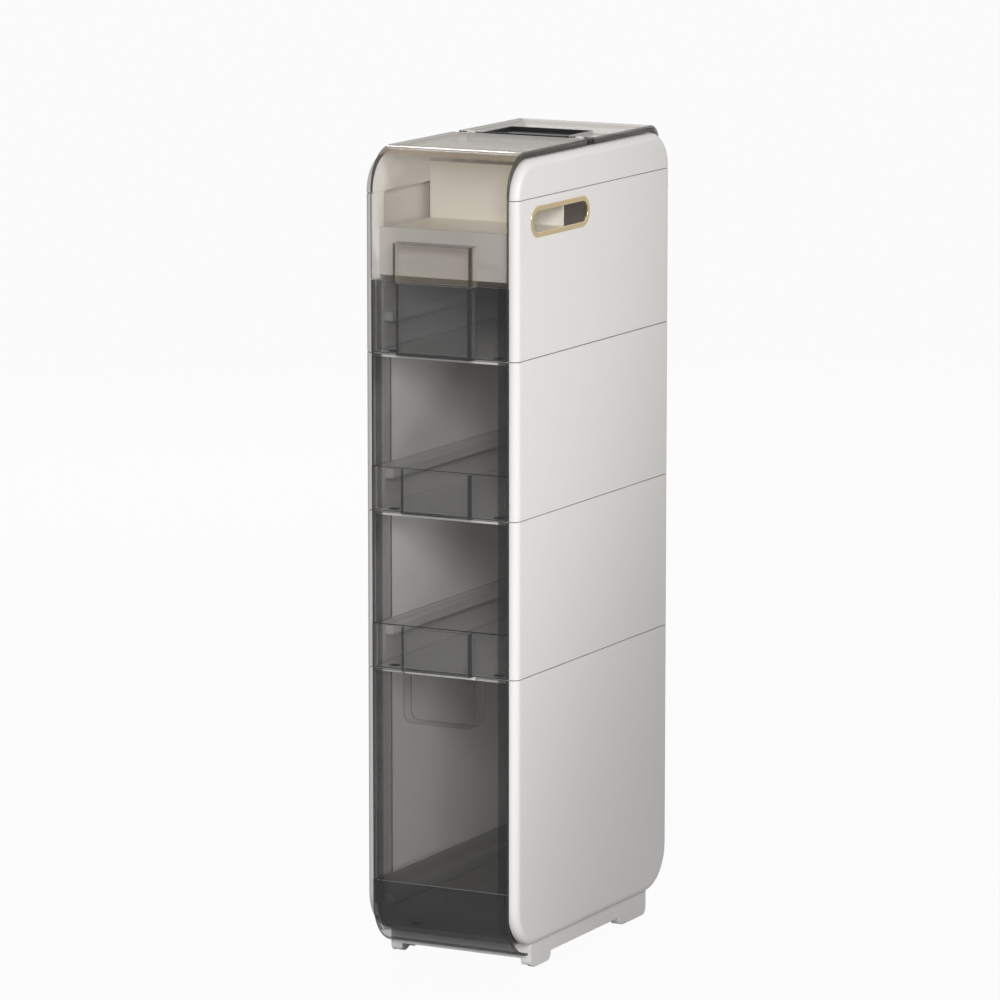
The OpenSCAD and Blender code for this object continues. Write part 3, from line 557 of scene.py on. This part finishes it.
Y, Z = 1, 2
for node, axis, outwards, turn in (("back_screws", Y, -1, (math.pi / 2, 0, 0)),
                                   ("floor_screws", Z, -1, (math.pi, 0, 0)),
                                   ("foot_screws", Z, 1, (0, 0, 0))):
    cloud, length = heads(node, axis, outwards)
    grown(node + "_crossed", cloud, screws,
          {"Head radius": HEAD_RADIUS, "Head height": HEAD_HEIGHT, "Shank": length - HEAD_HEIGHT,
           "Turn": turn, "Finish": steel}, node)

# %% [markdown]
# ## Wheels
# The wheels are small hard rollers on steel stubs. A real roller of this kind has a hub, a web
# that is a little thinner and a tread with shallow ribs across it. The ribs repeat at an even
# step round the rim, which is again a job for Geometry Nodes: a circle of points, and a small
# block on each that is turned to follow the circle. The roller itself is a profile that is
# turned round the axle in mesh code.

# %% The rib tree
RIBS, RIB_WIDTH, RIB_THICKNESS, RIB_HEIGHT = 48, 6.4 * MM, 0.9 * MM, 0.6 * MM

def rib_tree():
    tree, given = new_tree("tread ribs", {
        "Wheel": ("Geometry", None), "Ribs": ("Int", RIBS), "Radius": ("Float", 14.5 * MM),
        "Width": ("Float", RIB_WIDTH), "Rib": ("Float", RIB_THICKNESS),
        "Height": ("Float", RIB_HEIGHT), "Centre": ("Vector", None),
        "Finish": ("Material", None)}, "Ribbed wheel")
    ring = add_node(tree, "GeometryNodeMeshCircle", {
        "Vertices": given["Ribs"], "Radius": given["Radius"]}).outputs["Mesh"]
    rib = block(tree, given["Height"], given["Rib"], given["Width"])
    sunk = moved(tree, rib, maths(tree, "MULTIPLY", given["Height"], -0.5), 0, 0)
    outwards = add_node(tree, "GeometryNodeInputPosition").outputs[0]
    turn = add_node(tree, "FunctionNodeAlignEulerToVector", {"Vector": outwards},
                    axis="X", pivot_axis="Z").outputs[0]
    around = add_node(tree, "GeometryNodeInstanceOnPoints", {
        "Points": ring, "Instance": sunk, "Rotation": turn}).outputs[0]
    upright = add_node(tree, "GeometryNodeTransform", {
        "Geometry": around, "Rotation": (0, math.pi / 2, 0),
        "Translation": given["Centre"]}).outputs[0]
    both = add_node(tree, "GeometryNodeJoinGeometry", {0: [given["Wheel"], upright]}).outputs[0]
    return end_tree(tree, both, given["Finish"])

ribs = rib_tree()
print("rib tree nodes", len(ribs.nodes))

# %% The roller under the ribs
BORE = 2.55                                     # millimetres, as all of the profile
HUB_FACE, HUB_FOOT = 2.2, 3.0                   # outwards from the bore
WEB_END, RIM_INNER, RIM_OUTER, TREAD = 4.2, 3.4, 1.6, 0.5       # inwards from the radius
RECESS = 1.2                                    # of the web and the tread's edge
TURNS = 96

def roller(centre, width, radius):
    face, web = -width / 2, -width / 2 + RECESS
    profile = [(BORE, face), (BORE + HUB_FACE, face), (BORE + HUB_FOOT, web),
               (radius - WEB_END, web), (radius - RIM_INNER, face), (radius - RIM_OUTER, face),
               (radius - TREAD, web)]
    profile += [(r, -x) for r, x in reversed(profile)]
    work = bmesh.new()
    rings = []
    for k in range(TURNS):
        angle = 2 * math.pi * k / TURNS
        rings.append([work.verts.new((centre[0] + x * MM,
                                      centre[1] + r * MM * math.cos(angle),
                                      centre[2] + r * MM * math.sin(angle))) for r, x in profile])
    for k, here in enumerate(rings):
        there = rings[(k + 1) % TURNS]
        for j in range(len(profile)):
            m = (j + 1) % len(profile)
            work.faces.new((here[j], here[m], there[m], there[j]))
    bmesh.ops.recalc_face_normals(work, faces=work.faces)
    mesh = bpy.data.meshes.new("roller")
    work.to_mesh(mesh)
    work.free()
    shade_smooth(mesh)
    return mesh

# %% Four wheels
INSIDE = 0.9995         # keeps the ribs within the CAD wheel

for node in [f"wheel_{end}_{side}" for end in ENDS for side in SIDES]:
    low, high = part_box(node)
    centre = [(a + b) / 2 for a, b in zip(low, high)]
    radius = (high[2] - low[2]) / 2
    grown(node + "_ribbed", roller(centre, (high[0] - low[0]) / MM, radius / MM), ribs,
          {"Ribs": RIBS, "Radius": radius * INSIDE, "Width": RIB_WIDTH, "Rib": RIB_THICKNESS,
           "Height": RIB_HEIGHT, "Centre": tuple(centre), "Finish": wheel_grey}, node)

# %% [markdown]
# ## Floor and backdrop
# The floor keeps the cabinet's soft shadow, and the camera should see a pale studio round it.
# For camera rays and in reflections the floor is mixed with a plain white, and the world is
# white for the camera, for reflections and through the sheets. The light that falls on the
# cabinet isn't changed.

# %% Floor
HALF = 40.0                                     # metres from the middle to a side
CAMERA_WHITE, MIRRORED_WHITE = 0.96, 0.45       # shares of white for the two kinds of ray

floor_mesh = bpy.data.meshes.new("studio_floor")
floor_mesh.from_pydata([(-HALF, -HALF, 0), (HALF, -HALF, 0), (HALF, HALF, 0), (-HALF, HALF, 0)],
                       [], [(0, 1, 2, 3)])
floor = put("studio_floor", floor_mesh)
pale = bpy.data.materials.new("pale floor")
pale.use_nodes = True
tree = pale.node_tree
matt = tree.nodes["Principled BSDF"]
matt.inputs["Base Color"].default_value = (0.3, 0.3, 0.3, 1)
matt.inputs["Roughness"].default_value = 0.8
glow = add_node(tree, "ShaderNodeEmission", {"Color": (1, 1, 1, 1)})
ray = add_node(tree, "ShaderNodeLightPath").outputs
seen = maths(tree, "MULTIPLY_ADD", ray["Is Glossy Ray"], MIRRORED_WHITE, ray["Is Camera Ray"])
share = maths(tree, "MULTIPLY", seen, CAMERA_WHITE)
mix = add_node(tree, "ShaderNodeMixShader", {0: share, 1: matt.outputs[0], 2: glow.outputs[0]})
tree.links.new(mix.outputs[0], tree.nodes["Material Output"].inputs["Surface"])
floor_mesh.materials.append(pale)
print("floor ready,", round(2 * HALF), "m wide")

# %% World
world = bpy.data.worlds.new("studio")
scene.world = world
world.use_nodes = True
tree = world.node_tree
fill = tree.nodes["Background"]
fill.inputs["Color"].default_value = (1.0, 0.99, 0.975, 1)
fill.inputs["Strength"].default_value = 0.17
white = add_node(tree, "ShaderNodeBackground", {"Color": (0.97, 0.97, 0.97, 1)})
ray = add_node(tree, "ShaderNodeLightPath").outputs
direct = maths(tree, "MAXIMUM", ray["Is Camera Ray"], ray["Is Glossy Ray"])
seen = maths(tree, "MAXIMUM", direct, ray["Is Transmission Ray"])
mix = add_node(tree, "ShaderNodeMixShader", {0: seen, 1: fill.outputs[0], 2: white.outputs[0]})
tree.links.new(mix.outputs[0], tree.nodes["World Output"].inputs["Surface"])
print("world ready")

# %% [markdown]
# ## Lamps
# In the photo the front is bright, the right side keeps its light down to the bottom drawer, and
# only the lower back corner falls into shade. One wide soft lamp in front and to the right lights
# the fronts, the rims and the side alike. A round beam from the right adds light high on the
# side and fades towards the floor, and a small low lamp lifts the foot of the front edge. A weak
# one, high behind the left side, draws a thin line of light along the bend of the front cover.
# Another soft lamp behind lights the back and the left side for views from there. The soft lamps
# are hidden from the camera, and all but the weak one from reflections too.

# %% Five lamps
def add_lamp(name, kind, place, aim, power):
    data = bpy.data.lights.new(name, kind)
    data.energy = power
    lamp = put(name, data)
    lamp.location = place
    lamp.rotation_euler = (Vector(aim) - lamp.location).to_track_quat("-Z", "Y").to_euler()
    return lamp

def soft_lamp(name, place, aim, size, power, mirrored=False):
    lamp = add_lamp(name, "AREA", place, aim, power)
    lamp.data.size = size
    lamp.visible_camera = False
    lamp.visible_glossy = mirrored

# Place and aim in metres, then the side of the lamp in metres and its power in watts
soft_lamp("front_soft", (2.2, -4.25, 2.3), (0, 0, 0.6), 1.2, 108)
soft_lamp("back_soft", (-2.6, 3.6, 2.2), (0, 0, 0.6), 1.2, 110)
soft_lamp("low_soft", (0.62, -0.8, 0.2), (0.1, -0.2, 0.22), 0.2, 2.6)
soft_lamp("bend_glint", (-1.37, 2.0, 2.4), (0, -0.2, 1.06), 0.35, 5.0, mirrored=True)
beam = add_lamp("side_beam", "SPOT", (3.0, -0.6, 1.66), (0.11, -0.22, 1.04), 155).data
beam.spot_size = math.radians(31)
beam.spot_blend = 0.95
beam.shadow_soft_size = 0.22

# %% [markdown]
# ## Camera
# The camera was worked out from the straight edges of the cabinet in the photo: it stands about
# 7.6 m away, 27.5 degrees to the right of the front and 9.7 degrees above it, with a long lens.
# On its way through the drawers a ray crosses many sheets, and so does the ray from there to a
# lamp, so the number of see-through faces that a ray may pass is raised.

# %% Camera
AZIMUTH, ELEVATION = math.radians(27.5), math.radians(9.68)
PLACE = (3.4389, -6.6505, 1.8631)
SENSOR = 36.0                                   # millimetres
FOCAL = 5.79848                                 # in widths of the picture
SHEETS_CROSSED = 32

sight = Vector((-math.sin(AZIMUTH) * math.cos(ELEVATION),
                math.cos(AZIMUTH) * math.cos(ELEVATION), -math.sin(ELEVATION)))
lens = bpy.data.cameras.new("view")
lens.sensor_fit = "HORIZONTAL"
lens.sensor_width = SENSOR
lens.lens = SENSOR * FOCAL
lens.clip_end = 200.0
camera = put("view", lens)
camera.location = PLACE
camera.rotation_euler = sight.to_track_quat("-Z", "Y").to_euler()
bpy.context.scene.camera = camera
bpy.context.scene.view_settings.view_transform = "Standard"
bpy.context.scene.cycles.transparent_max_bounces = SHEETS_CROSSED
print("camera lens", round(lens.lens, 1), "mm")
